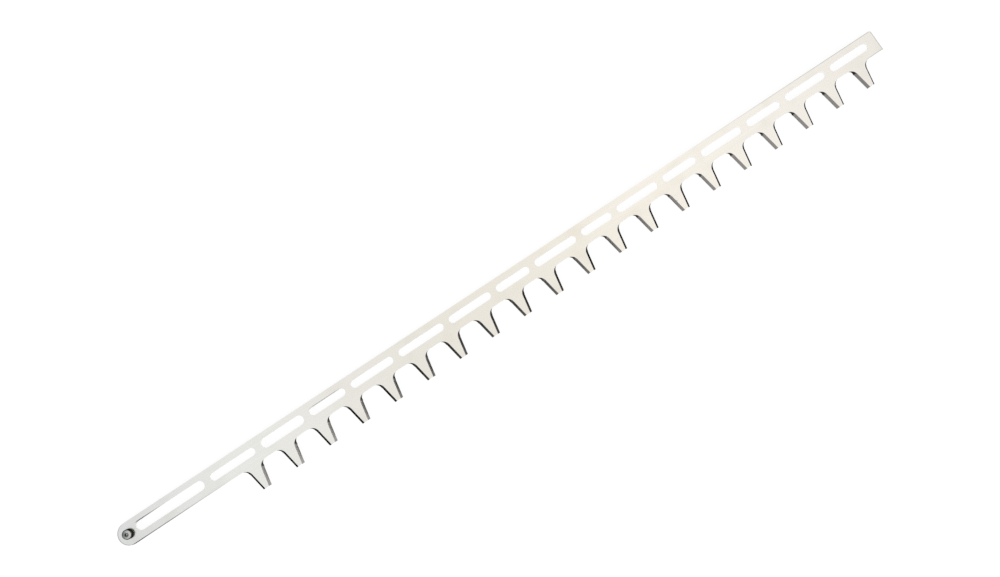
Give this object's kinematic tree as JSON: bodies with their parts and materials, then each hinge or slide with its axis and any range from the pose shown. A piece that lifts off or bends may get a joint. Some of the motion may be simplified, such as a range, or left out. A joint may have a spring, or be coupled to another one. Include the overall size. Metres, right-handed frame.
{
  "type": "hedge trimmer blade",
  "caption": "Flat single-sided hedge trimmer blade: slotted steel spine, bevel-ground teeth along one edge, rounded drive end with an upright turned drive pin.",
  "frame": {"origin": "on the drive pin's axis, at the flat cutting face", "axes": "+X along the spine from the drive pin to the free tip, teeth towards -Y, +Z out of the bevelled upper face, the way the drive pin stands"},
  "size_m": [0.8273, 0.0439, 0.0074],
  "materials": {
    "blade_steel": "bright ground steel with a fine grain along the spine, darker ground bevels",
    "pin_steel": "turned and hardened steel, darker than the blade"
  },
  "bodies": {
    "root": {"blade": "blade_steel", "drive_pin": "pin_steel"}
  },
  "joints": []
}
